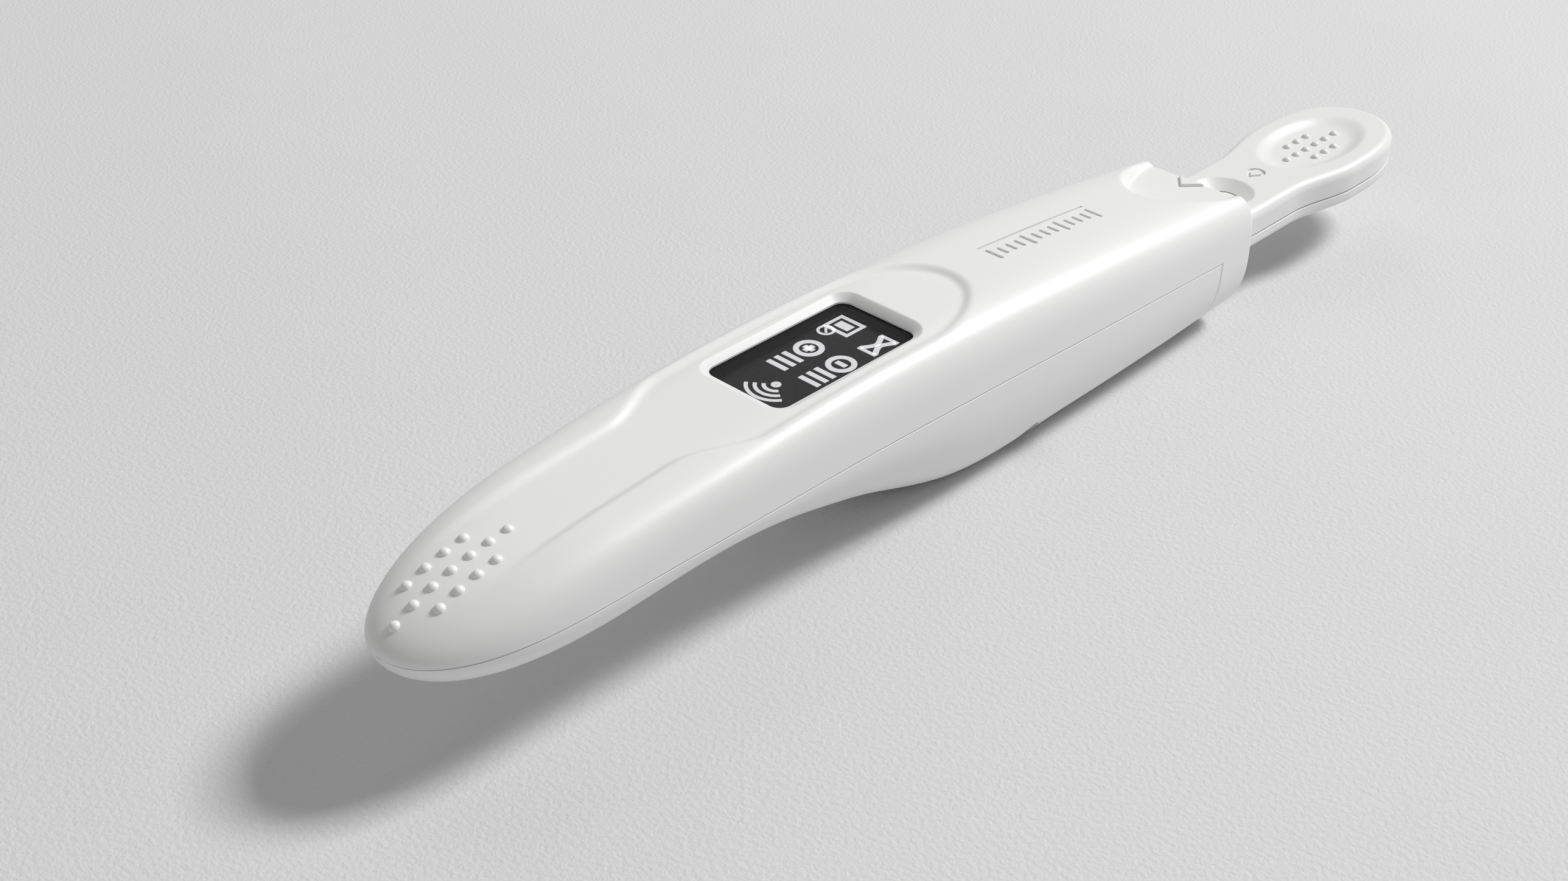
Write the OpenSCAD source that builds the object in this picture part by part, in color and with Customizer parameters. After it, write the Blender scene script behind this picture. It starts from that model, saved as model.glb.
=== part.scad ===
// Hand-held digital reader for a plug-in test stick.
// Along X the reader's nose comes first and the stick's head last; Z is up and 0 is the flat of the belly.

/* [Reader] */
// Length of the reader from nose to rear rim
reader_length = 136.4; // [134:0.2:139]
// Wall thickness of the two housing shells
wall = 1.6; // [1.4:0.1:1.8]
// Length of the rear collar that the upper shell closes all round
collar_length = 7.3; // [6:0.1:8]
// Depth of the sunken panel in the top
panel_depth = 0.45; // [0.3:0.05:0.6]

/* [Display] */
// Length of the bevelled window opening at the outer surface
window_length = 24.8; // [24:0.2:25.6]
// Width of the bevelled window opening at the outer surface
window_width = 14; // [13.6:0.2:14.4]
// Distance from the nose to the middle of the window
window_centre = 61.6; // [61:0.2:62.4]
// Width of the bevel round the window
window_bevel = 1; // [0.8:0.1:1.2]

/* [Test stick] */
// Length of the whole test stick
stick_length = 77; // [75:0.5:79]
// How far the stick goes into the reader
stick_insertion = 32.5; // [31:0.5:33]
// Width of the stick's waist and tail
stick_width = 13.8; // [13.4:0.1:14]
// Width of the stick's head
head_width = 17.6; // [17:0.1:18.4]
// Thickness of the stick
stick_thickness = 5.8; // [5.6:0.1:6]
// Diameter of the sample well at the stick's face
well_d = 8.8; // [8.4:0.1:9.2]

/* [Battery] */
// Diameter of a coin cell
cell_d = 12.5; // [12:0.1:12.5]
// Thickness of a coin cell
cell_h = 2.5; // [2:0.1:2.5]

/* [Grip bumps] */
// Diameter of a grip bump on the nose
bump_d = 1.35; // [1.2:0.05:1.5]
// Spacing of the bumps along a row
bump_pitch = 2.45; // [2.4:0.01:2.5]

/* [Hidden] */

shell_white = "#f4f4f2";
board_green = "#2f6b46";
part_black = "#1c1d1f";
metal = "#b9bcc0";

overall_length = reader_length + stick_length - stick_insertion;
stick_start = reader_length - stick_insertion;

// Stations along the reader, from the nose, and the housing's section at each:
// half width, height above the parting line, depth below it.
stations = [0, 20, 40, 60, 80, 100, 120, reader_length];
half_widths = [10.8, 10.7, 11.15, 11.3, 11.5, 11.4, 10.75, 9.95];
crown_heights = [6.15, 7.1, 8.15, 9.15, 9.45, 9.1, 8.45, 7.85];
belly_depths = [8.05, 7.25, 5.75, 10.25, 16.1, 15, 13.1, 10.9];
nose_length = [28, 24.5, 31]; // how far back the nose rounds off in width, crown and belly
nose_fullness = 3.2;
parting_heights = [14.85, 15.7, 11.9]; // parting line at the nose, middle and rim

// Squareness of the section above and below the parting line, as a superellipse's exponent.
square_stations = [0, 40, 80, reader_length];
crown_squareness = [1.7, 5.2, 4.3, 4.2];
belly_squareness = [2, 2, 2.3, 2.6];

rings = 40;
ring_points = 24;

function slope(xs, ys, i) =
    let (a = max(i - 1, 0), b = min(i + 1, len(xs) - 1)) (ys[b] - ys[a]) / (xs[b] - xs[a]);

// Smooth curve through the stations.
function along(xs, ys, u, i = 0) =
    i < len(xs) - 2 && u > xs[i + 1] ? along(xs, ys, u, i + 1)
    : let (
        h = xs[i + 1] - xs[i],
        t = min(max((u - xs[i]) / h, 0), 1)
    ) (2 * pow(t, 3) - 3 * pow(t, 2) + 1) * ys[i] + (pow(t, 3) - 2 * pow(t, 2) + t) * h * slope(xs, ys, i)
    + (3 * pow(t, 2) - 2 * pow(t, 3)) * ys[i + 1] + (pow(t, 3) - pow(t, 2)) * h * slope(xs, ys, i + 1);

// Rounding of the nose, from 0 at its tip to 1 a length behind it.
function nose(u, length, fullness = 2) = sqrt(1 - pow(max(1 - u / length, 0), fullness));

function half_width(u) = along(stations, half_widths, u) * nose(u, nose_length[0], nose_fullness);
function crown(u) = along(stations, crown_heights, u) * nose(u, nose_length[1]);
function belly(u) = along(stations, belly_depths, u) * nose(u, nose_length[2]);
function parting(u) =
    let (t = u / reader_length)
    parting_heights[0] * (1 - t) * (1 - 2 * t) + 4 * parting_heights[1] * t * (1 - t)
    + parting_heights[2] * t * (2 * t - 1);
function top_z(u) = parting(u) + crown(u);

// One quarter-turn-symmetric half of a section, from the +Y side to the -Y side.
function half_ring(u, inset, up) =
    let (
        b = max(half_width(u) - inset, 0.2),
        h = max((up > 0 ? crown(u) : belly(u)) - inset, 0.15),
        p = 2 / along(square_stations, up > 0 ? crown_squareness : belly_squareness, u)
    ) [for (i = [0 : ring_points])
        let (c = cos(180 * i / ring_points), s = sin(180 * i / ring_points))
        [u, b * sign(c) * pow(abs(c), p), max(parting(u) + up * h * pow(abs(s), p), up > 0 ? 0 : inset)]];

function reversed(list) = [for (i = [len(list) - 1 : -1 : 0]) list[i]];
function inner_points(list) = [for (i = [1 : len(list) - 2]) list[i]];

// A closed section of the housing: its upper half, its lower half, or both.
function section(u, inset, part) =
    part == "upper" ? half_ring(u, inset, 1)
    : part == "lower" ? reversed(half_ring(u, inset, -1))
    : concat(half_ring(u, inset, 1), inner_points(reversed(half_ring(u, inset, -1))));

// Solid through a row of sections with the same number of points.
module skin(sections) {
    n = len(sections[0]);
    last = len(sections) - 1;
    polyhedron(
        points = [for (s = sections) each s],
        faces = concat(
            [[for (i = [0 : n - 1]) i]],
            [for (k = [0 : last - 1], i = [0 : n - 1])
                let (a = k * n + i, b = k * n + (i + 1) % n) each [[a, a + n, b], [b, a + n, b + n]]],
            [[for (i = [n - 1 : -1 : 0]) last * n + i]]
        ),
        convexity = 6
    );
}

// Housing shape through the places given along the reader.
module loft(places, inset, part) {
    skin([for (u = places) section(u, inset, part)]);
}

// Places from one end to the other, closer together near the nose.
function places(first, last, count) =
    [for (i = [0 : count]) first + (last - first) * pow(i / count, 1.7)];

lower_end = reader_length - collar_length;
rear_wall = 2;
outer_front = places(0.02, lower_end, rings);
collar_places = [lower_end, reader_length];
cavity_places = places(wall * 1.4, reader_length - rear_wall, rings);

// Moves what is drawn from the nose, at X 0, to the part's own origin under the middle of its length.
module from_nose() {
    translate([-overall_length / 2, 0, 0]) children();
}

// Display stack, from the glass down
glass_z = 23.2;
glass_size = [25.2, 14.2, 0.9];
glass_gap = 0.15;
bezel_thickness = 0.3;
oled_size = [26.7, 15.4, 1.45];
bezel_z = glass_z - glass_size[2] - bezel_thickness;
oled_z = bezel_z - oled_size[2];
holder_size = [29, 16.2];
active_size = [21.8, 11];
opening_size = [window_length - 2 * window_bevel, window_width - 2 * window_bevel];
opening_corner = 1.6;
window_face_z = top_z(window_centre) - panel_depth;

// Main board, below the display and above the stick
board_z = 16.6;
board_thickness = 1;
board_top = board_z + board_thickness;
board_range = [47.2, 120.6];
board_width = 15.6;

// Heights in the stick
stick_z = 8.6;
stick_top = stick_z + stick_thickness;
stick_parting = stick_z + 2.1;
stick_wall = 1.2;
stick_edge = 1.3;
stick_bottom_edge = 0.9;
stick_end = overall_length;
head_centre = stick_end - 14.6;
flare_start = reader_length + 15;
flare_end = reader_length + 27.4;
well_u = reader_length + 7.1;
dish_u = reader_length + 29.3;
dish_size = [21.6, 11.8];
dish_depth = 0.85;

// Test strip in the stick
strip_width = 4;
strip_range = [stick_start + 1.6, well_u + 7.5];
card_z = stick_top - 2.8;
card_thickness = 0.3;
strip_z = card_z + card_thickness;
wick_end = strip_range[0] + 5.6;
membrane_end = wick_end + 17.5;
conjugate_end = membrane_end + 8;
line_window = [wick_end + 1, membrane_end - 2.5];

// Guide that the stick slides in
guide_gap = 0.3;
guide_wall = 0.8;
guide_range = [stick_start - 2.4, reader_length - rear_wall - 4];
guide_inside = [stick_width + 2 * guide_gap, stick_thickness + 2 * guide_gap];
guide_bottom = stick_z - guide_gap - guide_wall;
guide_top = stick_top + guide_gap + guide_wall;
optics_u = (line_window[0] + line_window[1]) / 2;
optics_size = [12.6, 7];
optics_z = stick_top + 0.5;

// Switch that the stick's tail presses
plunger_d = 2;
plunger_z = stick_top - 1.2;
plunger_tip = stick_start - 0.2;
switch_range = [stick_start - 8.4, stick_start - 3];

// Battery bay in the grip
cell_u = 32;
cell_z = 13.6;
door_size = [19, 16];
door_corner = 3;
door_gap = 0.25;
tray_inner_r = cell_d / 2 + 0.2;
tray_outer_r = cell_d / 2 + 0.9;
tray_roof = 0.8;
tray_top = cell_z + 2 * cell_h + 0.5;

// Screws, as distance from the nose and half the spacing across
case_screw_places = [[44.9, 0], [92, 7.5]];
case_screw_seats = [11.4, 7.5];
board_screw_places = [[79.6, 6], [117.6, 6]];
screw_d = 1.6;
screw_head_d = 3;
screw_head_h = 0.8;

module block(first, last) {
    translate(first) cube(last - first);
}

// Block given by its range along the reader, its width across the middle and its range in height.
module bar(range, width, heights) {
    block([range[0], -width / 2, heights[0]], [range[1], width / 2, heights[1]]);
}

// Plate with round corners, centred, standing on Z 0.
module rounded_plate(size, r) {
    for (x = [-1, 1], y = [-1, 1])
        translate([x * (size[0] / 2 - r), y * (size[1] / 2 - r), 0]) cylinder(h = size[2], r = r, $fn = 48);
    translate([-size[0] / 2 + r, -size[1] / 2, 0]) cube([size[0] - 2 * r, size[1], size[2]]);
    translate([-size[0] / 2, -size[1] / 2 + r, 0]) cube([size[0], size[1] - 2 * r, size[2]]);
}

module rounded_outline(size, r) {
    offset(r = r, $fn = 32) square([size[0] - 2 * r, size[1] - 2 * r], center = true);
}

module both_sides(place) {
    for (side = place[1] > 0 ? [-1, 1] : [1]) translate([place[0], side * place[1], 0]) children();
}

// Outline of the sunken panel: wide about the display with a round rear end, narrow along the grip.
panel_front = 9;
panel_strip = 4.9;
panel_wide = 8.4;
panel_bend = [35, 46];
panel_round = [72, 13.2];
function panel_half(u) =
    let (t = min(max((u - panel_bend[0]) / (panel_bend[1] - panel_bend[0]), 0), 1))
    u < panel_round[0]
        ? panel_strip + (panel_wide - panel_strip) * (1 - cos(180 * t)) / 2
        : panel_wide * sqrt(max(1 - pow((u - panel_round[0]) / panel_round[1], 2), 0));
panel_places = concat([for (u = [panel_front : 2 : panel_round[0]]) u],
    [for (i = [1 : 12]) panel_round[0] + panel_round[1] * sin(7.5 * i)]);

module sunken_panel() {
    difference() {
        linear_extrude(30)
            polygon(concat(
                [for (u = panel_places) [u, panel_half(u)]],
                [for (u = inner_points(reversed(panel_places))) [u, -panel_half(u)]]
            ));
        loft(places(4, 95, 30), panel_depth, "upper");
        cube([200, 60, 30], center = true);
    }
}

bump_sink = 0.2; // how far below the surface the middle of a bump lies

module grip_bumps() {
    row_spacing = 2.62;
    first_u = 17;
    for (row = [-1 : 1], i = [0 : row == 0 ? 6 : 3]) {
        u = first_u - bump_pitch * (row == 0 ? i : i + 1.5);
        y = row * row_spacing;
        p = along(square_stations, crown_squareness, u);
        z = parting(u) + crown(u) * pow(1 - pow(abs(y) / half_width(u), p), 1 / p);
        translate([u, y, z - bump_sink]) sphere(d = bump_d, $fn = 24);
    }
}

scoop_length = 12.8;
scoop_half_width = 7.3;
scoop_depth = 1.15;
scoop_tilt = 3.4;

module thumb_scoop() {
    translate([reader_length, 0, top_z(reader_length) - scoop_depth])
        rotate([0, scoop_tilt, 0])
        linear_extrude(6)
        polygon(concat(
            [for (i = [0 : 24]) [-scoop_length * sin(7.5 * i), scoop_half_width * cos(7.5 * i)]],
            [[3, -scoop_half_width], [3, scoop_half_width]]
        ));
}

module release_arrow() {
    // raised triangle on the floor of the scoop, pointing to the nose
    translate([reader_length - 3.4, 0, top_z(reader_length) - scoop_depth - 0.2])
        linear_extrude(0.6) polygon([[0, 0], [2.5, 2], [2.5, -2]]);
}

module window_cut() {
    translate([window_centre, 0, glass_z - 3])
        rounded_plate([opening_size[0], opening_size[1], 10], opening_corner);
    hull() {
        translate([window_centre, 0, window_face_z - window_bevel])
            linear_extrude(0.01) rounded_outline(opening_size, opening_corner);
        translate([window_centre, 0, window_face_z + window_bevel])
            linear_extrude(0.01)
            rounded_outline([window_length + 2 * window_bevel, window_width + 2 * window_bevel],
                opening_corner + 2 * window_bevel);
    }
}

// Pocket under the window's lip that takes the glass.
module glass_pocket() {
    depth = 2;
    translate([window_centre, 0, glass_z - depth])
        rounded_plate([glass_size[0] + 2 * glass_gap, glass_size[1] + 2 * glass_gap, depth], 2);
}

module upper_bosses() {
    for (p = case_screw_places)
        both_sides(p) translate([0, 0, parting(p[0])]) cylinder(h = 9, d = 4, $fn = 32);
    for (p = board_screw_places)
        both_sides(p) translate([0, 0, board_top]) cylinder(h = 7, d = 3.6, $fn = 32);
}

module upper_screw_holes() {
    for (p = case_screw_places)
        both_sides(p) translate([0, 0, parting(p[0]) - 1]) cylinder(h = 6, d = screw_d, $fn = 32);
    for (p = board_screw_places)
        both_sides(p) translate([0, 0, board_top - 1]) cylinder(h = 3.6, d = screw_d, $fn = 32);
}

module upper_shell() {
    land_size = [28, 16.4];
    scoop_floor = 0.9;
    color(shell_white) from_nose() difference() {
        union() {
            difference() {
                union() {
                    loft(outer_front, 0, "upper");
                    loft(collar_places, 0, "both");
                }
                loft(cavity_places, wall, "both");
                sunken_panel();
            }
            // land for the display glass, bosses and the thick floor under the scoop
            intersection() {
                union() {
                    translate([window_centre, 0, glass_z])
                        rounded_plate([land_size[0], land_size[1], 3], 3);
                    upper_bosses();
                    bar([reader_length - scoop_length - 2, reader_length - 1], 16,
                        [top_z(reader_length) - scoop_depth - scoop_floor, 21]);
                }
                loft(places(30, reader_length - 1, 30), wall / 2, "both");
            }
            grip_bumps();
        }
        window_cut();
        glass_pocket();
        upper_screw_holes();
        bar([reader_length - 6, reader_length + 1], guide_inside[0],
            [stick_z - guide_gap, stick_top + guide_gap]);
        difference() {
            thumb_scoop();
            release_arrow();
        }
    }
}

module lower_shell() {
    color(shell_white) from_nose() difference() {
        union() {
            difference() {
                loft(outer_front, 0, "lower");
                loft(cavity_places, wall, "both");
            }
            intersection() {
                for (i = [0, 1])
                    both_sides(case_screw_places[i]) cylinder(h = parting(case_screw_places[i][0]), d = 4.6, $fn = 32);
                loft(places(30, 110, 20), wall / 2, "lower");
            }
        }
        translate([cell_u, 0, 0]) rounded_plate([door_size[0], door_size[1], 15], door_corner);
        for (i = [0, 1])
            both_sides(case_screw_places[i]) {
                translate([0, 0, -1]) cylinder(h = 20, d = screw_d + 0.3, $fn = 32);
                translate([0, 0, -1]) cylinder(h = case_screw_seats[i] + 1, d = screw_head_d + 0.6, $fn = 32);
            }
    }
}

module battery_door() {
    color(shell_white) from_nose() intersection() {
        difference() {
            loft(places(18, 46, 10), 0, "lower");
            loft(places(17, 47, 10), wall, "both");
        }
        translate([cell_u, 0, 0])
            rounded_plate([door_size[0] - 2 * door_gap, door_size[1] - 2 * door_gap, 15], door_corner - door_gap);
    }
}

module display_window() {
    color("#101114") from_nose()
        translate([window_centre, 0, glass_z - glass_size[2]]) rounded_plate(glass_size, 2);
}

module display_bezel() {
    color(part_black) from_nose() translate([window_centre, 0, bezel_z]) difference() {
        rounded_plate([glass_size[0], glass_size[1], bezel_thickness], 2);
        translate([0, 0, -1]) rounded_plate([active_size[0], active_size[1], 3], 0.8);
    }
}

module oled_display() {
    color("#0b0c10") from_nose()
        bar([window_centre - oled_size[0] / 2, window_centre + oled_size[0] / 2], oled_size[1],
            [oled_z, oled_z + oled_size[2]]);
}

module display_holder() {
    fit = 0.1;
    color(part_black) from_nose() difference() {
        translate([window_centre, 0, board_top])
            rounded_plate([holder_size[0], holder_size[1], bezel_z - board_top], 1);
        bar([window_centre - oled_size[0] / 2 - fit, window_centre + oled_size[0] / 2 + fit],
            oled_size[1] + 2 * fit, [oled_z, bezel_z + 1]);
        translate([window_centre, 0, board_top - 1]) rounded_plate([18, 10, 5], 1);
        // way out for the flex
        bar([window_centre, window_centre + holder_size[0]], 8.6, [oled_z, bezel_z + 1]);
    }
}

module display_flex() {
    thickness = 0.2;
    start = window_centre + oled_size[0] / 2;
    color("#b5731f") from_nose()
        translate([0, 4, 0]) rotate([90, 0, 0]) linear_extrude(8)
        polygon([
            [start, oled_z + 0.2], [start + 2.2, oled_z + 0.2], [start + 3.6, board_top],
            [start + 6.4, board_top], [start + 6.4, board_top + thickness],
            [start + 3.7, board_top + thickness], [start + 2.3, oled_z + 0.2 + thickness],
            [start, oled_z + 0.2 + thickness]
        ]);
}

module main_board() {
    color(board_green) from_nose() difference() {
        bar(board_range, board_width, [board_z, board_top]);
        for (p = board_screw_places)
            both_sides(p) translate([0, 0, board_z - 1]) cylinder(h = 3, d = screw_d + 0.3, $fn = 32);
        both_sides(case_screw_places[1]) translate([0, 0, board_z - 1]) cylinder(h = 3, d = 4.8, $fn = 32);
    }
}

module processor_chip() {
    color(part_black) from_nose() bar([93, 100], 7, [board_top, board_top + 0.9]);
}

module radio_module() {
    color(metal) from_nose() bar([102.4, 113.4], 9, [board_top, board_top + 1.7]);
}

module board_components() {
    connector_u = window_centre + oled_size[0] / 2 + 6.5;
    color("#8a7a5c") from_nose() {
        bar([connector_u, connector_u + 2], 9, [board_top, board_top + 0.9]);
        for (y = [-5.4, 5.4], i = [0 : 3])
            translate([98.4 + 2.2 * i, y - 0.6, board_top]) cube([1.2, 1.2, 0.7]);
        for (y = [-3, 0, 3])
            translate([114.6, y - 0.5, board_top]) cube([1, 1, 0.6]);
    }
}

module buzzer() {
    color(part_black) from_nose() translate([88, 0, board_top]) difference() {
        cylinder(h = 2.5, d = 9, $fn = 48);
        translate([0, 0, 1.6]) cylinder(h = 2, d = 1.6, $fn = 32);
    }
}

optic_places = [-4.2, 0, 4.2];

module optics_block() {
    color(part_black) from_nose() translate([optics_u, 0, optics_z]) difference() {
        bar([-optics_size[0] / 2, optics_size[0] / 2], optics_size[1], [0, board_z - optics_z]);
        for (u = optic_places) translate([u, 0, -1]) cylinder(h = 6, d = 2.6, $fn = 32);
    }
}

module chip_package(u) {
    translate([optics_u + u, 0, 0]) bar([-0.8, 0.8], 1.6, [board_z - 0.7, board_z]);
}

module emitter_leds() {
    color("#e8e4c8") from_nose() {
        chip_package(optic_places[0]);
        chip_package(optic_places[2]);
    }
}

module light_sensor() {
    color("#26282c") from_nose() chip_package(optic_places[1]);
}

module stick_guide() {
    color(part_black) from_nose() difference() {
        bar(guide_range, guide_inside[0] + 2 * guide_wall, [guide_bottom, guide_top]);
        bar([stick_start - 0.6, reader_length], guide_inside[0], [stick_z - guide_gap, stick_top + guide_gap]);
        bar([optics_u - optics_size[0] / 2 - 0.2, optics_u + optics_size[0] / 2 + 0.2], optics_size[1] + 0.4,
            [stick_top, guide_top + 1]);
        // hole for the switch plunger
        translate([guide_range[0] - 1, 0, plunger_z]) rotate([0, 90, 0]) cylinder(h = 4, d = plunger_d + 0.8, $fn = 32);
        // slot for the retaining spring
        block([stick_start + 2.6, 0, stick_z + 1], [stick_start + 7, 12, stick_top - 1]);
    }
}

module retaining_spring() {
    thickness = 0.25;
    u = stick_start + 4.8;
    outer = guide_inside[0] / 2 + guide_wall;
    tip = stick_width / 2 + 0.2;
    color(metal) from_nose() translate([0, 0, stick_z + 1.4]) linear_extrude(stick_thickness - 2.8)
        polygon([
            [u - 4, outer], [u - 1.9, outer], [u, tip], [u + 1.9, outer], [u + 5, outer],
            [u + 5, outer + thickness], [u + 1.7, outer + thickness], [u, tip + 0.45],
            [u - 1.7, outer + thickness], [u - 4, outer + thickness]
        ]);
}

module detect_switch() {
    color(part_black) from_nose() difference() {
        bar(switch_range, 5.6, [plunger_z - 2, board_z]);
        translate([switch_range[0] + 0.8, 0, plunger_z]) rotate([0, 90, 0])
            cylinder(h = 10, d = plunger_d + 0.1, $fn = 48);
    }
}

module switch_plunger() {
    start = switch_range[0] + 2;
    color("#d8d8d4") from_nose() translate([start, 0, plunger_z]) rotate([0, 90, 0])
        cylinder(h = plunger_tip - start, d = plunger_d, $fn = 48);
}

module battery_tray() {
    color(part_black) from_nose() translate([cell_u, 0, cell_z]) difference() {
        union() {
            cylinder(h = tray_top - cell_z + tray_roof, r = tray_outer_r, $fn = 64);
            // post that the tray hangs from, up to the inside of the upper shell
            cylinder(h = top_z(cell_u) - wall - cell_z - 0.2, d = 4, $fn = 32);
        }
        translate([0, 0, -1]) cylinder(h = tray_top - cell_z + 1, r = tray_inner_r, $fn = 64);
        translate([tray_inner_r - 1, -2.5, -1]) cube([3, 5, tray_top - cell_z + 1]);
    }
}

module coin_cells() {
    color(metal) from_nose() for (i = [0, 1])
        translate([cell_u, 0, cell_z + i * cell_h]) {
            cylinder(h = cell_h - 0.4, d = cell_d, $fn = 64);
            cylinder(h = cell_h, d = cell_d - 1.6, $fn = 64);
        }
}

module battery_contacts() {
    strip = 0.2;
    color("#c9b26a") from_nose() {
        translate([cell_u, 0, cell_z + 2 * cell_h]) cylinder(h = 0.3, d = 8, $fn = 48);
        translate([cell_u + cell_d / 2, -2, cell_z + 0.5]) cube([strip, 4, 2 * cell_h - 1]);
    }
}

module small_screw(head_z, tip_z) {
    translate([0, 0, head_z]) cylinder(h = screw_head_h, d = screw_head_d, $fn = 32);
    translate([0, 0, head_z]) cylinder(h = tip_z - head_z, d = screw_d, $fn = 32);
}

module case_screws() {
    color(metal) from_nose() for (i = [0, 1])
        both_sides(case_screw_places[i])
            small_screw(case_screw_seats[i] - screw_head_h, parting(case_screw_places[i][0]) + 3.5);
}

module board_screws() {
    color(metal) from_nose() for (p = board_screw_places)
        both_sides(p) small_screw(board_z - screw_head_h, board_top + 2.2);
}

// Half width of the stick: tail with round corners, straight waist, S-shaped flare, oval head.
tail_corner = 2;
head_fullness = 2.3;
tip_half = 0.6;
function stick_half(u) =
    let (
        t = min(max((u - flare_start) / (flare_end - flare_start), 0), 1),
        h = head_width / 2,
        w = stick_width / 2,
        corner = max(tail_corner - (u - stick_start), 0)
    ) u > head_centre
        ? max(h * pow(max(1 - pow((u - head_centre) / (stick_end - head_centre), head_fullness), 0),
            1 / head_fullness), tip_half)
        : w + (h - w) * t * t * (3 - 2 * t) - tail_corner + sqrt(tail_corner * tail_corner - corner * corner);

stick_places = concat(
    [for (i = [0 : 5]) stick_start + tail_corner * (1 - cos(18 * i))],
    [for (u = [stick_start + 12 : 10 : flare_start]) u],
    [for (i = [0 : 8]) flare_start + (head_centre - flare_start) * i / 8],
    [for (i = [1 : 12]) head_centre + (stick_end - head_centre) * sin(7.5 * i)]
);

// Section of one half of the stick, from its +Y side over both rounded edges to its -Y side.
function stick_ring(u, face_z, edge, up) =
    let (
        b = stick_half(u),
        r = min(edge, 0.8 * b),
        past = max(u - stick_end + edge, 0),
        face = face_z - up * (edge - sqrt(edge * edge - past * past)),
        corner = [for (a = [0 : 22.5 : 90]) [b - r * (1 - cos(a)), face - up * r * (1 - sin(a))]]
    ) concat(
        [[u, b, stick_parting]],
        [for (p = corner) [u, p[0], p[1]]],
        [for (p = reversed(corner)) [u, -p[0], p[1]]],
        [[u, -b, stick_parting]]
    );

// The hollow in the stick's tail and waist that holds the strip.
module strip_space(heights) {
    bar([stick_start + stick_wall, flare_start + 3], stick_width - 2 * stick_wall, heights);
}

module head_bumps() {
    row_spacing = 2.34;
    pitch = 2.44;
    for (row = [-1 : 1], i = [0 : row == 0 ? 5 : 2]) {
        u = dish_u + pitch * (row == 0 ? i - 2.5 : i - 1);
        translate([u, row * row_spacing, stick_top - dish_depth - bump_sink]) sphere(d = bump_d, $fn = 24);
    }
}

module stick_upper_shell() {
    color(shell_white) from_nose() {
        difference() {
            skin([for (u = stick_places) stick_ring(u, stick_top, stick_edge, 1)]);
            strip_space([stick_parting - 1, stick_top - stick_wall]);
            translate([well_u, 0, stick_top - stick_wall - 0.01])
                cylinder(h = stick_wall + 0.02, d1 = 5, d2 = well_d, $fn = 64);
            bar(line_window, strip_width, [stick_parting, stick_top + 1]);
            translate([dish_u, 0, stick_top - dish_depth]) linear_extrude(dish_depth + 1)
                polygon([for (a = [0 : 10 : 350]) [dish_size[0] / 2 * cos(a), dish_size[1] / 2 * sin(a)]]);
        }
        head_bumps();
    }
}

module stick_lower_shell() {
    color(shell_white) from_nose() {
        difference() {
            skin([for (u = stick_places) reversed(stick_ring(u, stick_z, stick_bottom_edge, -1))]);
            strip_space([stick_z + stick_wall, stick_parting + 1]);
        }
        // bed that holds the strip up to the window
        bar(strip_range, strip_width, [stick_z + 1, card_z]);
    }
}

module strip_piece(range, thickness) {
    bar(range, strip_width, [strip_z, strip_z + thickness]);
}

module backing_card() {
    color("#f7f7f5") from_nose() bar(strip_range, strip_width, [card_z, strip_z]);
}

module absorbent_pad() {
    color("#ecebe6") from_nose() strip_piece([strip_range[0], wick_end], 0.9);
}

module membrane() {
    color("#fbfbf8") from_nose() strip_piece([wick_end, membrane_end], 0.2);
}

module conjugate_pad() {
    color("#e6c9c6") from_nose() strip_piece([membrane_end, conjugate_end], 0.5);
}

module sample_pad() {
    color("#f2f1ec") from_nose() strip_piece([conjugate_end, strip_range[1]], 1.2);
}

upper_shell();
lower_shell();
display_window();
display_bezel();
oled_display();
display_holder();
display_flex();
main_board();
processor_chip();
radio_module();
board_components();
buzzer();
optics_block();
emitter_leds();
light_sensor();
stick_guide();
retaining_spring();
detect_switch();
switch_plunger();
battery_tray();
coin_cells();
battery_contacts();
battery_door();
case_screws();
board_screws();
stick_upper_shell();
stick_lower_shell();
backing_card();
sample_pad();
conjugate_pad();
membrane();
absorbent_pad();
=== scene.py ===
import math

import bmesh
import bpy
import numpy as np
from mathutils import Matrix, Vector


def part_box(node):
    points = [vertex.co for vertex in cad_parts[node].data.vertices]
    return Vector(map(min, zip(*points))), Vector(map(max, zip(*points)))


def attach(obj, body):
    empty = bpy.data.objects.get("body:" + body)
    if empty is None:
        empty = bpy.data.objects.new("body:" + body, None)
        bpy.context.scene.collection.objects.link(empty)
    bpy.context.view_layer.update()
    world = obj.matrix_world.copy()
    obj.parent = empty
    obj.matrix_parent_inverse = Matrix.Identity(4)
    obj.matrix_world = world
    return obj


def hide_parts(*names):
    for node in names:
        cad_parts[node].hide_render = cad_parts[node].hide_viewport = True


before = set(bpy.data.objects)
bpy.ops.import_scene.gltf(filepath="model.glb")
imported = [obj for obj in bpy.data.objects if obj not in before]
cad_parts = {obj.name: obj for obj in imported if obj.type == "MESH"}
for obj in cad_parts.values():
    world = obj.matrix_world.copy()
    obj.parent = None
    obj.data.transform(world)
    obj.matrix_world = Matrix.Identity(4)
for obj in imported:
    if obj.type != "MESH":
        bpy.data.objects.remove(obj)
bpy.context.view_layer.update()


# --- Camera -----------------------------------------------------------------------------------------
# A 50 mm lens looks down on the reader from in front of its nose and to its right. The whole length
# runs up the frame from lower left to upper right.
camera = bpy.data.objects.new("camera", bpy.data.cameras.new("camera"))
camera.data.lens = 50
camera.data.sensor_width = 36
camera.data.clip_start = 0.01
camera.location = (-0.18258, -0.14519, 0.14925)
camera.rotation_euler = Vector((0.6005, 0.5847, -0.5456)).to_track_quat("-Z", "Y").to_euler()
bpy.context.scene.collection.objects.link(camera)
bpy.context.scene.camera = camera


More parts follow.
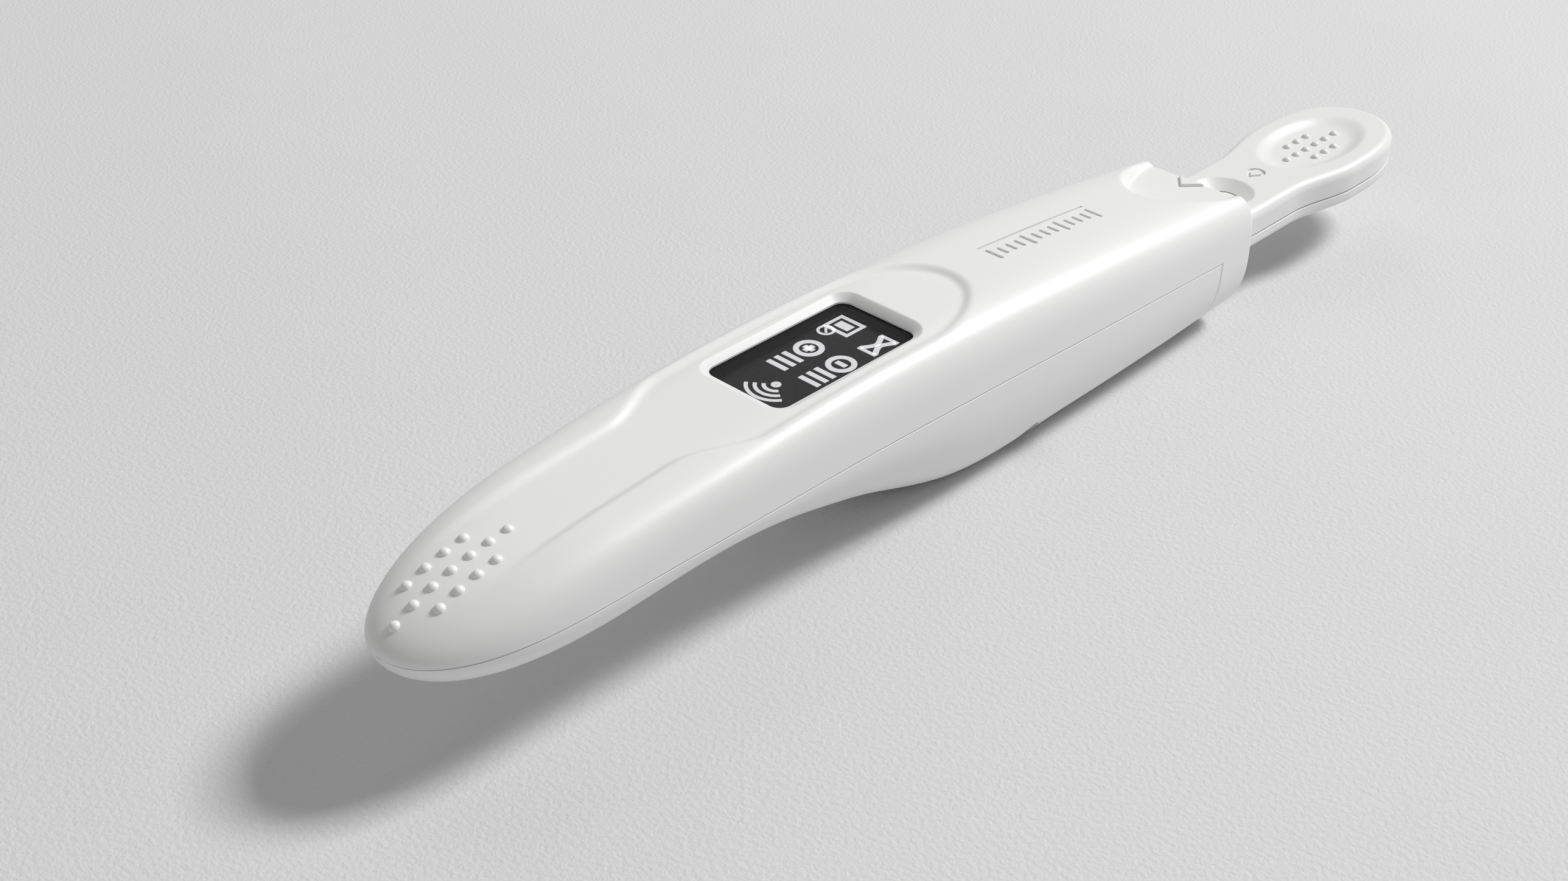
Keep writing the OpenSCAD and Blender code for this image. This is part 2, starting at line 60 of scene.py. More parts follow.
# --- Table top and light ----------------------------------------------------------------------------
# The reader lies on a pale, finely grained board under one soft light beyond the stick, with a weaker
# and broader one from the far side and an even glow from the room.
class Value:
    """A socket of a material. Arithmetic on it adds Math nodes, and node() adds any other node."""

    def __init__(self, tree, socket=None):
        self.tree = tree
        self.socket = socket

    def node(self, kind, settings, inputs, output=0):
        made = self.tree.nodes.new("ShaderNode" + kind)
        for name, setting in settings.items():
            if name == "stops":
                stops = made.color_ramp.elements
                while len(stops) < len(setting):
                    stops.new(1)
                for stop, (place, colour) in zip(stops, setting):
                    stop.position = place
                    stop.color = colour
            else:
                setattr(made, name, setting)
        for key, value in inputs.items():
            if isinstance(value, Value):
                self.tree.links.new(value.socket, made.inputs[key])
            else:
                made.inputs[key].default_value = value
        return Value(self.tree, made.outputs[output])

    def math(self, operation, a, b=0.0):
        return self.node("Math", {"operation": operation}, {0: a, 1: b})

    def __add__(self, other):
        return self.math("ADD", self, other)

    def __sub__(self, other):
        return self.math("SUBTRACT", self, other)

    def __rsub__(self, other):
        return self.math("SUBTRACT", other, self)

    def __mul__(self, other):
        return self.math("MULTIPLY", self, other)

    def __gt__(self, other):
        return self.math("GREATER_THAN", self, other)

    __radd__ = __add__
    __rmul__ = __mul__


def finish(name, constants):
    """New material with these constants on its shader, its tree as a Value, and the shader."""
    made = bpy.data.materials.new(name)
    made.use_nodes = True
    shader = made.node_tree.nodes["Principled BSDF"]
    for socket, value in constants.items():
        shader.inputs[socket].default_value = value
    return made, Value(made.node_tree), shader


def feed(shader, socket, link):
    link.tree.links.new(link.socket, shader.inputs[socket])


def places_on(tree):
    """Where a point of the piece is, in metres, in the piece's own frame."""
    return tree.node("TexCoord", {}, {}, "Object")


def grain(tree, size, detail=3.0, where=None):
    """Noise from 0 to 1 with features of about this size in metres."""
    return tree.node("TexNoise", {}, {
        "Vector": where or places_on(tree), "Scale": 1 / size, "Detail": detail, "Roughness": 0.55}, "Fac")


def tint(tree, factor, first, second):
    return tree.node("Mix", {"data_type": "RGBA"}, {0: factor, 6: (*first, 1), 7: (*second, 1)}, 2)


def relief(tree, height, depth, strength=1.0):
    return tree.node("Bump", {}, {"Height": height, "Distance": depth, "Strength": strength}, "Normal")


def new_piece(name, mesh):
    piece = bpy.data.objects.new(name, mesh)
    bpy.context.scene.collection.objects.link(piece)
    return piece


floor_size = 3.0
floor_corners = [(x * floor_size, y * floor_size, 0) for x, y in ((-1, -1), (1, -1), (1, 1), (-1, 1))]
floor_mesh = bpy.data.meshes.new("table_top")
floor_mesh.from_pydata(floor_corners, [], [(0, 1, 2, 3)])
table_top = new_piece("table_top", floor_mesh)
board_finish, tree, shader = finish("table_board", {"Specular IOR Level": 0.25})
wrinkle = grain(tree, 0.0006, 1.0)
feed(shader, "Base Color", tint(tree, grain(tree, 0.02), (0.685, 0.685, 0.690), (0.705, 0.705, 0.710)))
feed(shader, "Roughness", 0.62 + wrinkle * 0.12)
feed(shader, "Normal", relief(tree, wrinkle, 0.00013, 0.8))
floor_mesh.materials.append(board_finish)


def soft_light(name, place, size, power):
    """Square light that faces the reader."""
    lamp = bpy.data.objects.new(name, bpy.data.lights.new(name, "AREA"))
    lamp.data.size = size
    lamp.data.energy = power
    lamp.location = place
    lamp.rotation_euler = (-Vector(place)).to_track_quat("-Z", "Y").to_euler()
    bpy.context.scene.collection.objects.link(lamp)


soft_light("back_light", (1.30, -0.56, 1.45), 0.5, 35.0)
soft_light("far_light", (0.35, 0.75, 0.85), 0.9, 1.5)
soft_light("front_light", (-1.1, -0.20, 0.26), 0.7, 0.5)
room = bpy.data.worlds.new("room")
room.use_nodes = True
room.node_tree.nodes["Background"].inputs["Color"].default_value = (1.0, 0.99, 0.98, 1)
room.node_tree.nodes["Background"].inputs["Strength"].default_value = 0.29
bpy.context.scene.world = room
bpy.context.scene.view_settings.view_transform = "Standard"


# --- Upper housing shell ----------------------------------------------------------------------------
# One injection-moulded shell in satin white plastic. It carries the sunken display panel, the grip
# bumps on the nose and the thumb scoop, and closes all round as a collar at the rear end.
# Sizes are in millimetres; lengths run from the tip of the nose.
MM = 0.001
reader_length = 136.4
stick_length = 77.0
stick_insertion = 32.5
middle = (reader_length + stick_length - stick_insertion) / 2
wall = 1.6
collar_length = 7.3
rear_wall = 2.0
stations = [0, 20, 40, 60, 80, 100, 120, reader_length]
half_widths = [10.8, 10.7, 11.15, 11.3, 11.5, 11.4, 10.75, 9.95]
crown_heights = [6.15, 7.1, 8.15, 9.15, 9.45, 9.1, 8.45, 7.85]
belly_depths = [8.05, 7.25, 5.75, 10.25, 16.1, 15, 13.1, 10.9]
nose_length = [28, 24.5, 31]
nose_fullness = 3.2
parting_heights = [14.85, 15.7, 11.9]
square_stations = [0, 40, 80, reader_length]
crown_squareness = [1.7, 5.2, 4.3, 4.2]
belly_squareness = [2, 2, 2.3, 2.6]


def along(xs, ys, u):
    """Smooth curve through the stations."""
    xs, ys = np.array(xs, float), np.array(ys, float)
    low = np.maximum(np.arange(len(xs)) - 1, 0)
    high = np.minimum(np.arange(len(xs)) + 1, len(xs) - 1)
    slopes = (ys[high] - ys[low]) / (xs[high] - xs[low])
    i = np.clip(np.searchsorted(xs, u, side="right") - 1, 0, len(xs) - 2)
    h = xs[i + 1] - xs[i]
    t = np.clip((u - xs[i]) / h, 0, 1)
    start = (2 * t**3 - 3 * t**2 + 1) * ys[i] + (t**3 - 2 * t**2 + t) * h * slopes[i]
    return start + (3 * t**2 - 2 * t**3) * ys[i + 1] + (t**3 - t**2) * h * slopes[i + 1]


def nose(u, length, fullness=2.0):
    """Rounding of the nose, from 0 at its tip to 1 a length behind it."""
    return np.sqrt(1 - np.maximum(1 - u / length, 0) ** fullness)


def half_width(u):
    return along(stations, half_widths, u) * nose(u, nose_length[0], nose_fullness)


def crown(u):
    return along(stations, crown_heights, u) * nose(u, nose_length[1])


def belly(u):
    return along(stations, belly_depths, u) * nose(u, nose_length[2])


def parting(u):
    t = u / reader_length
    first, centre, last = parting_heights
    return first * (1 - t) * (1 - 2 * t) + 4 * centre * t * (1 - t) + last * t * (2 * t - 1)


def eased(t):
    t = np.clip(t, 0, 1)
    return t * t * (3 - 2 * t)


panel_depth = 0.62
panel_edge = 1.5
panel_fade = [7, 24]
panel_strip, panel_wide = 4.9, 8.4
panel_bend = [35, 46]
panel_round = [72, 13.2]


def panel_drop(u, y):
    """How far the sunken panel lies below the plain surface."""
    t = np.clip((u - panel_bend[0]) / (panel_bend[1] - panel_bend[0]), 0, 1)
    side = panel_strip + (panel_wide - panel_strip) * (1 - np.cos(np.pi * t)) / 2 - np.abs(y)
    a, b = panel_round[1], panel_wide
    x = np.maximum(u - panel_round[0], 0)
    reach = np.sqrt((x / a) ** 2 + (y / b) ** 2)
    slope = np.sqrt((x / a**2) ** 2 + (y / b**2) ** 2) + 1e-6
    end = (1 - reach) * reach / slope
    inside = np.where(u < panel_round[0], side, end)
    fade = eased((u - panel_fade[0]) / (panel_fade[1] - panel_fade[0]))
    return panel_depth * eased(inside / panel_edge + 0.5) * fade


scoop_length = 12.8
scoop_half_width = 7.3
scoop_depth = 1.15
scoop_tilt = math.radians(3.4)
scoop_edge = 1.5
rim_top = parting(reader_length) + crown(reader_length)


def scoop_floor(u):
    return rim_top - scoop_depth + (reader_length - u) * math.tan(scoop_tilt)


def scooped(u, y, z):
    """Height of the surface once the thumb scoop at the rim is pressed into it."""
    x = (reader_length - u) / scoop_length
    reach = np.sqrt(x**2 + (y / scoop_half_width) ** 2) + 1e-6
    slope = np.sqrt((x / scoop_length) ** 2 + (y / scoop_half_width**2) ** 2) / reach + 1e-6
    share = eased((1 - reach) / slope / scoop_edge + 0.4)
    return z + (np.minimum(scoop_floor(u), z) - z) * share


def section(u, turn, inset=0.0):
    """Width and height of the housing's surface at each length and each angle round it."""
    up = np.sin(turn) > -1e-9
    b = np.maximum(half_width(u) - inset, 0.2)
    h = np.maximum(np.where(up, crown(u), belly(u)) - inset, 0.15)
    crown_q = along(square_stations, crown_squareness, u)
    belly_q = along(square_stations, belly_squareness, u)
    q = np.where(up, crown_q, belly_q)
    reach = ((np.abs(np.cos(turn)) / b) ** q + (np.abs(np.sin(turn)) / h) ** q) ** (-1 / q)
    return reach * np.cos(turn), np.maximum(parting(u) + reach * np.sin(turn), inset)


def top_surface(u, y):
    """Height of the finished top at a place on it."""
    q = along(square_stations, crown_squareness, u)
    arch = np.maximum(1 - (np.abs(y) / half_width(u)) ** q, 0) ** (1 / q)
    return scooped(u, y, parting(u) + crown(u) * arch - panel_drop(u, y))


def solid(name, rings):
    """Closed mesh through rings of (length, width, height) points with the same count."""
    rings = np.asarray(rings, float)
    m, n, _ = rings.shape
    points = (rings.reshape(-1, 3) - (middle, 0, 0)) * MM
    side = [(k * n + i, k * n + (i + 1) % n, (k + 1) * n + (i + 1) % n, (k + 1) * n + i)
            for k in range(m - 1) for i in range(n)]
    ends = [tuple(range(n)), tuple(range((m - 1) * n, m * n))]
    mesh = bpy.data.meshes.new(name)
    mesh.from_pydata(points.tolist(), [], side + ends)
    shape = bmesh.new()
    shape.from_mesh(mesh)
    bmesh.ops.remove_doubles(shape, verts=shape.verts, dist=3e-7)
    bmesh.ops.recalc_face_normals(shape, faces=shape.faces)
    shape.to_mesh(mesh)
    shape.free()
    return new_piece(name, mesh)


def combine(piece, other, operation="DIFFERENCE"):
    """Cuts the other shape out of the piece, or adds it, and uses the other one up."""
    step = piece.modifiers.new("step", "BOOLEAN")
    step.operation = operation
    step.solver = "EXACT"
    step.object = other
    bpy.context.view_layer.update()
    made = bpy.data.meshes.new_from_object(piece.evaluated_get(bpy.context.evaluated_depsgraph_get()))
    piece.modifiers.clear()
    old, piece.data = piece.data, made
    bpy.data.meshes.remove(old)
    bpy.data.meshes.remove(other.data)
    return piece


def joined(name, shapes):
    """One object that holds several separate shapes."""
    whole = bmesh.new()
    for shape in shapes:
        whole.from_mesh(shape.data)
        bpy.data.meshes.remove(shape.data)
    mesh = bpy.data.meshes.new(name)
    whole.to_mesh(mesh)
    whole.free()
    return new_piece(name, mesh)


def stacked(name, levels):
    """Solid through flat outlines, each given as its points and its height or heights."""
    return solid(name, [[(u, y, z) for (u, y), z in zip(outline, np.broadcast_to(height, len(outline)))]
                        for outline, height in levels])


def rounded_outline(centre, length, width, corner, steps=10):
    """Points round a rectangle with round corners."""
    points = []
    for quarter, (sx, sy) in enumerate(((1, 1), (-1, 1), (-1, -1), (1, -1))):
        for i in range(steps + 1):
            turn = math.pi / 2 * (quarter + i / steps)
            points.append((centre[0] + sx * (length / 2 - corner) + corner * math.cos(turn),
                           centre[1] + sy * (width / 2 - corner) + corner * math.sin(turn)))
    return np.array(points)


def circle(centre, radius, count=48):
    turns = np.arange(count) * 2 * np.pi / count
    return np.stack([centre[0] + radius * np.cos(turns), centre[1] + radius * np.sin(turns)], 1)


def post(centre, radius, low, high):
    return stacked("post", [(circle(centre, radius), low), (circle(centre, radius), high)])


def box(name, low, high):
    outline = [(low[0], low[1]), (high[0], low[1]), (high[0], high[1]), (low[0], high[1])]
    return stacked(name, [(outline, low[2]), (outline, high[2])])


def ball(centre, radius):
    shape = bmesh.new()
    bmesh.ops.create_uvsphere(shape, u_segments=32, v_segments=20, radius=radius * MM)
    place = Vector((centre[0] - middle, centre[1], centre[2])) * MM
    bmesh.ops.translate(shape, verts=shape.verts, vec=place)
    mesh = bpy.data.meshes.new("ball")
    shape.to_mesh(mesh)
    shape.free()
    return new_piece("ball", mesh)


def rounded_look(piece, angle=32):
    piece.data.shade_smooth()
    piece.data.set_sharp_from_angle(angle=math.radians(angle))


seam_gap = 0.09
seam_chamfer = 0.15
seam_depth = 0.14
rim_radius = 0.75
collar_start = reader_length - collar_length
upper_points = 150
lower_points = 90
ring_step = 0.34
nose_part = 8.0


def spread(first, last, count, near_seam=0.009):
    """Angles from seam to seam, with one close to each for the seam's small chamfer."""
    between = np.linspace(first + 3 * near_seam, last - 3 * near_seam, count - 4)
    return np.concatenate([[first, first + near_seam], between, [last - near_seam, last]])


def ring_places(last, step):
    """Places from the nose backwards, closer together at its tip."""
    count = int((last - nose_part) / step)
    tip = nose_part * (np.arange(int(nose_part / step * 2)) / int(nose_part / step * 2)) ** 2
    return np.concatenate([np.maximum(tip, 0.02), np.linspace(nose_part, last, count)])[1:]


upper_turns = spread(0, np.pi, upper_points)
lower_turns = spread(np.pi, 2 * np.pi, lower_points)


def upper_ring(u, inset=0.0, lower_inset=0.0, closed=False):
    """Ring of the upper shell: open ones end on the parting line, closed ones run round the collar."""
    y, z = section(np.full(upper_points, u), upper_turns, inset)
    if inset == 0:
        z = scooped(u, y, z - panel_drop(u, y))
    else:
        pressed = scooped(u, y, z)
        z = np.minimum(z, pressed - inset * (pressed < z - 1e-6))
    if closed:
        low_y, low_z = section(np.full(lower_points, u), lower_turns, inset + lower_inset)
        y, z = np.concatenate([y, low_y[1:-1]]), np.concatenate([z, low_z[1:-1]])
    else:
        level = parting(u) + seam_gap / 2
        y[[0, -1]] *= 1 - seam_depth / max(abs(y[0]), 2 * seam_depth)
        z[[0, -1]] = level
        chord = np.linspace(y[-1], y[0], lower_points)[1:-1]
        y, z = np.concatenate([y, chord]), np.concatenate([z, np.full(len(chord), level)])
    return np.stack([np.full(len(y), u), y, z], 1)


open_rings = [upper_ring(u) for u in ring_places(collar_start + seam_gap / 2, ring_step)]
first_closed = [upper_ring(collar_start + seam_gap / 2, 0.0, seam_depth, True),
                upper_ring(collar_start + seam_chamfer, 0.0, 0.0, True)]
collar_places = np.arange(collar_start + 2 * seam_chamfer, reader_length - rim_radius, ring_step * 0.8)
collar_rings = [upper_ring(u, closed=True) for u in collar_places]
rim_rings = []
for turn in np.linspace(0, np.pi / 2, 8):
    rim_place = reader_length - rim_radius * (1 - math.sin(turn))
    rim_rings.append(upper_ring(rim_place, rim_radius * (1 - math.cos(turn)), 0.0, True))
upper_shell = solid("housing_upper", open_rings + first_closed + collar_rings + rim_rings)


def cavity(name):
    """The room inside both shells."""
    count = 96
    turns = np.linspace(0, 2 * np.pi, count + 1)[:-1]
    first = wall * 1.4
    rings = []
    for u in [*ring_places(90, 1.6)[8:], *np.linspace(92, reader_length - rear_wall, 28)]:
        place = np.full(count, max(u, first))
        y, z = section(place, turns, wall)
        rings.append(np.stack([place, y, z], 1))
    return solid(name, rings)


window_centre = 61.6
window_size = [24.8, 14.0]
window_bevel = 1.0
opening_size = [window_size[0] - 2 * window_bevel, window_size[1] - 2 * window_bevel]
opening_corner = 1.6
glass_z = 23.2
glass_size, glass_gap = [25.2, 14.2], 0.15
land_size = [28, 16.4]
case_screws = [(44.9, 0), (92, 7.5), (92, -7.5)]
case_screw_seats = [11.4, 7.5, 7.5]
board_screws = [(u, side * 6.0) for u in (79.6, 117.6) for side in (-1, 1)]
board_top = 17.6
screw_width = 1.6
above_all = 30

upper_room = cavity("upper_room")
land_low = (window_centre - land_size[0] / 2, -land_size[1] / 2, glass_z)
land_high = (window_centre + land_size[0] / 2, land_size[1] / 2, above_all)
combine(upper_room, box("land", land_low, land_high))
scoop_back_width = 16
scoop_back_z = rim_top - scoop_depth - 0.9
scoop_low = (reader_length - scoop_length - 2, -scoop_back_width / 2, scoop_back_z)
combine(upper_room, box("scoop_back", scoop_low, (reader_length, scoop_back_width / 2, above_all)))
case_bosses = [post(p, 2.0, parting(p[0]), above_all) for p in case_screws]
board_bosses = [post(p, 1.8, board_top, above_all) for p in board_screws]
combine(upper_room, joined("bosses", case_bosses + board_bosses))
combine(upper_shell, upper_room)


def window_outline(size, grow, corner):
    """Outline about the window's middle, larger by grow all round."""
    return rounded_outline((window_centre, 0), size[0] + 2 * grow, size[1] + 2 * grow, corner)


def window_level(grow, sink):
    """Outline of the bevelled opening and its heights, sunk below the panel but above the lip."""
    outline = window_outline(opening_size, grow, opening_corner + grow)
    lip = 0.22
    return outline, np.maximum(top_surface(outline[:, 0], outline[:, 1]) - sink, glass_z + lip)


pocket = window_outline(glass_size, glass_gap, 2.0)
combine(upper_shell, stacked("glass_pocket", [(pocket, glass_z - 2), (pocket, glass_z)]))
opening = window_outline(opening_size, 0, opening_corner)
bevel_levels = [(0, 1), (0.1, 0.82), (0.9, 0.08), (1.06, 0), (1.45, -0.09), (1.5, -3)]
combine(upper_shell, stacked("window_cut", [(opening, glass_z - 1)] + [
    window_level(window_bevel * grow, window_bevel * sink) for grow, sink in bevel_levels]))

stick_width, stick_thickness, stick_z = 13.8, 5.8, 8.6
guide_gap = 0.3
slot_low = (reader_length - 6, -stick_width / 2 - guide_gap, stick_z - guide_gap)
slot_high = (reader_length + 1, stick_width / 2 + guide_gap, stick_z + stick_thickness + guide_gap)
combine(upper_shell, box("stick_slot", slot_low, slot_high))
case_holes = [post(p, screw_width / 2, parting(p[0]) - 1, parting(p[0]) + 5) for p in case_screws]
board_holes = [post(p, screw_width / 2, board_top - 1, board_top + 2.6) for p in board_screws]
combine(upper_shell, joined("screw_holes", case_holes + board_holes))

bump_width, bump_pitch, bump_rows = 1.35, 2.45, 2.62
first_bump, bump_sink = 17.0, 0.2
bumps = []
for row in (-1, 0, 1):
    for i in range(4 if row else 7):
        u, y = first_bump - bump_pitch * (i + 1.5 if row else i), row * bump_rows
        bumps.append(ball((u, y, top_surface(u, y) - bump_sink), bump_width / 2))
combine(upper_shell, joined("grip_bumps", bumps), "UNION")

arrow_tip, arrow_height = reader_length - 3.4, 0.4
arrow = np.array([(0.12, -0.1), (0.12, 0.1), (2.45, 1.96), (2.45, -1.96)]) + (arrow_tip, 0)
arrow_top = arrow.mean(0) + (arrow - arrow.mean(0)) * 0.9
arrow_floor = scoop_floor(arrow[:, 0])
combine(upper_shell, stacked("release_arrow", [
    (arrow, arrow_floor - 0.5), (arrow, arrow_floor + arrow_height * 0.55),
    (arrow_top, arrow_floor + arrow_height)]), "UNION")

# engraved ruler of plain ticks beside a thin line, on the top behind the panel
mark_range, mark_depth = [92.5, 113.5], 0.28
tick_width, tick_lengths, tick_side, tick_inset = 0.62, (2.9, 1.9, 1.9, 1.9), -0.4, 0.6
tick_places = np.linspace(mark_range[0] + tick_inset, mark_range[1] - tick_inset, 13)
ticks = [rounded_outline((u, tick_side), tick_width, tick_lengths[i % 4], 0.3, 4)
         for i, u in enumerate(tick_places)]
outer_edge, inner_edge = 1.95, 1.65
line_places = np.linspace(*mark_range, 20)
line = np.array([(u, outer_edge) for u in line_places] + [(u, inner_edge) for u in line_places[::-1]])


def engraving(outline):
    """Cutter for a shallow mark that follows the top surface."""
    level = top_surface(outline[:, 0], outline[:, 1])
    return stacked("mark", [(outline, level - mark_depth), (outline, level + 1)])


combine(upper_shell, joined("marks", [engraving(outline) for outline in ticks + [line]]))
rounded_look(upper_shell)

housing_white, tree, shader = finish("satin_white_housing", {
    "Specular IOR Level": 0.75, "Coat Roughness": 0.3, "Coat IOR": 1.45})
cloud, skin_grain = grain(tree, 0.03, 2.0), grain(tree, 0.00035, 2.0)
feed(shader, "Base Color", tint(tree, cloud, (0.830, 0.830, 0.828), (0.845, 0.845, 0.843)))
feed(shader, "Roughness", 0.44 + cloud * 0.05 + skin_grain * 0.05)
feed(shader, "Coat Weight", 0.16 + cloud * 0.06)
feed(shader, "Normal", relief(tree, skin_grain, 0.000006, 0.5))
upper_shell.data.materials.append(housing_white)
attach(upper_shell, "reader")
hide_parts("upper_shell")


# --- Lower housing shell ----------------------------------------------------------------------------
# The deep belly, moulded in the same white plastic. It meets the upper shell at a fine seam along both
# sides, stands on its flat, and has the battery opening and three sunk screw seats underneath.
parting_points = 40


def lower_ring(u, inset=0.0):
    """Ring of the lower shell, closed across the parting plane."""
    y, z = section(np.full(lower_points, u), lower_turns, inset)
    level = parting(u) - seam_gap / 2
    y[[0, -1]] *= 1 - seam_depth / max(abs(y[0]), 2 * seam_depth)
    z[[0, -1]] = level
    chord = np.linspace(y[-1], y[0], parting_points)[1:-1]
    y, z = np.concatenate([y, chord]), np.concatenate([z, np.full(len(chord), level)])
    return np.stack([np.full(len(y), u), y, z], 1)


def lower_solid(name):
    """The whole belly as a solid, up to the collar."""
    last = collar_start - seam_gap / 2
    belly_rings = [lower_ring(u) for u in ring_places(last - seam_chamfer, 0.8)]
    return solid(name, belly_rings + [lower_ring(last, seam_depth)])


door_centre = (32.0, 0.0)
door_size = [19.0, 16.0]
door_corner = 3.0
door_gap = 0.2
door_outline = rounded_outline(door_centre, *door_size, door_corner)
lower_shell = lower_solid("housing_lower")
lower_room = cavity("lower_room")
combine(lower_room, joined("bosses", [post(p, 2.3, 0.5, parting(p[0]) - 0.1) for p in case_screws]))
combine(lower_shell, lower_room)
below_all = -1
seat_radius, way_radius = 1.8, 0.95
combine(lower_shell, stacked("door_opening", [(door_outline, below_all), (door_outline, 14.9)]))
seats = [post(p, seat_radius, below_all, seat) for p, seat in zip(case_screws, case_screw_seats)]
combine(lower_shell, joined("screw_seats", seats))
combine(lower_shell, joined("screw_ways", [post(p, way_radius, below_all, 20) for p in case_screws]))
rounded_look(lower_shell)
lower_shell.data.materials.append(housing_white)
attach(lower_shell, "reader")
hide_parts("lower_shell")


# --- Battery door -----------------------------------------------------------------------------------
# A curved lid cut from the belly's own shape, moulded in the same plastic. It drops straight down out
# of its opening and has a small thumb notch to pull it by.
door = lower_solid("battery_lid")
combine(door, cavity("door_room"))
door_block = rounded_outline(door_centre, door_size[0] - 2 * door_gap, door_size[1] - 2 * door_gap,
                             door_corner - door_gap)
combine(door, stacked("door_edge", [(door_block, below_all), (door_block, 14.6)]), "INTERSECT")
notch_place, notch_size, notch_depth = (door_centre[0] + 7.6, 0), (1.2, 7.0), 0.5
notch = rounded_outline(notch_place, *notch_size, 0.58, 8)


def belly_surface(u, y):
    """Height of the belly's outer surface at a place on it."""
    q = along(square_stations, belly_squareness, u)
    arch = np.maximum(1 - (np.abs(y) / half_width(u)) ** q, 0) ** (1 / q)
    return np.maximum(parting(u) - belly(u) * arch, 0)


notch_level = belly_surface(notch[:, 0], notch[:, 1])
combine(door, stacked("thumb_notch", [(notch, notch_level - 1), (notch, notch_level + notch_depth)]))
rounded_look(door)
door.data.materials.append(housing_white)
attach(door, "battery_cover")
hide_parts("battery_door")


# --- Display window ---------------------------------------------------------------------------------
# A gloss pane of smoked acrylic with rounded corners, bonded under the lip round the opening. It is
# dark enough to hide the black parts behind it and lets the lit symbols through.
smoked, tree, shader = finish("smoked_pane", {"Alpha": 0.28, "Specular IOR Level": 0.5})
smear = grain(tree, 0.004, 3.0)
feed(shader, "Base Color", tint(tree, smear, (0.006, 0.006, 0.007), (0.012, 0.012, 0.013)))
feed(shader, "Roughness", 0.04 + smear * 0.03)


def dress(node, made):
    """Gives a carried-over part its finish."""
    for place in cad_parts[node].material_slots:
        place.material = made


dress("display_window", smoked)


# --- Display bezel and holder -----------------------------------------------------------------------
# A die-cut black mask under the pane frames the lit area. Below it a black moulded frame holds the
# display above the board and lets its flex out at the rear.
def moulded(name, colour, roughness, grain_size=0.0003, depth=0.00001):
    """Moulded plastic: a fine spark-eroded grain with slightly uneven gloss."""
    made, tree, shader = finish(name, {"Specular IOR Level": 0.45})
    fine, broad = grain(tree, grain_size, 3.0), grain(tree, 0.006, 2.0)
    lighter = tuple(min(c * 1.12 + 0.003, 1) for c in colour)
    feed(shader, "Base Color", tint(tree, broad, colour, lighter))
    feed(shader, "Roughness", roughness - 0.06 + fine * 0.08 + broad * 0.05)
    feed(shader, "Normal", relief(tree, fine, depth, 0.6))
    return made


mask_black = moulded("mask_film", (0.012, 0.012, 0.013), 0.5)
frame_black = moulded("moulded_black", (0.02, 0.02, 0.022), 0.55)
dress("display_bezel", mask_black)
dress("display_holder", frame_black)


# --- Display ----------------------------------------------------------------------------------------
# A small self-lit panel behind the pane. Its glass is black where nothing is lit, and pale symbols
# made of fine square dots show a result.
display_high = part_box("oled_display")[1]
active_size = [21.8, 11.0]
symbol_height = 0.05
stroke = 0.68
panel_black, tree, shader = finish("panel_black", {"Specular IOR Level": 0.2})
dust = grain(tree, 0.0015, 3.0)
feed(shader, "Base Color", tint(tree, dust, (0.006, 0.006, 0.007), (0.011, 0.011, 0.012)))
feed(shader, "Roughness", 0.22 + dust * 0.1)
dress("oled_display", panel_black)


def ribbon(points, width, closed=False):
    """Outline of a stroke of this width along the points, as its two edges."""
    p = np.array(points, float)
    if closed:
        before, after = np.roll(p, 1, 0), np.roll(p, -1, 0)
    else:
        before, after = np.vstack([p[:1], p[:-1]]), np.vstack([p[1:], p[-1:]])
    heading = after - before
    heading /= np.linalg.norm(heading, axis=1)[:, None]
    aside = np.stack([-heading[:, 1], heading[:, 0]], 1) * width / 2
    return p + aside, p - aside


def stroke_solid(points, width, low, high, closed=False):
    """A flat raised stroke."""
    left, right = ribbon(points, width, closed)
    rings = [[(*a, low), (*a, high), (*b, high), (*b, low)] for a, b in zip(left, right)]
    return solid("stroke", rings + rings[:1] if closed else rings)


def arc_points(centre, radius, first, last, count=16):
    turns = np.radians(np.linspace(first, last, count))
    return np.stack([centre[0] + radius * np.cos(turns), centre[1] + radius * np.sin(turns)], 1)


def on_display(along_share, across_share):
    """Place on the lit area: shares of its length from the nose end and of its width from the far side."""
    return (window_centre + active_size[0] * (along_share - 0.5), active_size[1] * (0.5 - across_share))


display_top = display_high.z / MM


def lit(points, closed=False, width=stroke):
    return stroke_solid(points, width, display_top - 0.02, display_top + symbol_height, closed)


def lit_lines(centre, lines, closed=False, width=stroke):
    return [lit(np.array(part) + centre, closed, width) for part in lines]


symbols = []
card_at, badge_at = on_display(0.90, 0.16), on_display(0.80, 0.13)
symbols += lit_lines(card_at, [[(-1.45, -2.3), (1.45, -2.3), (1.45, 1.2), (-1.45, 1.2)]], True, 0.7)
symbols += lit_lines(card_at, [[(0.0, -1.6), (0.0, 0.5)]], width=1.3)
symbols += [lit(arc_points(badge_at, 0.95, 0, 345, 24), True, 0.34)]
symbols += lit_lines(badge_at, [[(-0.4, -0.4), (0.4, 0.4)]], width=0.32)
glass_at = on_display(0.875, 0.74)
symbols += lit_lines(glass_at, [[(-1.9, 1.35), (-1.9, -1.35)], [(1.9, 1.35), (1.9, -1.35)]], width=0.5)
for side in (-1, 1):
    curve = [(1.75 * t, side * (0.22 + 0.9 * abs(t) ** 1.4)) for t in np.linspace(-1, 1, 21)]
    symbols += lit_lines(glass_at, [curve])
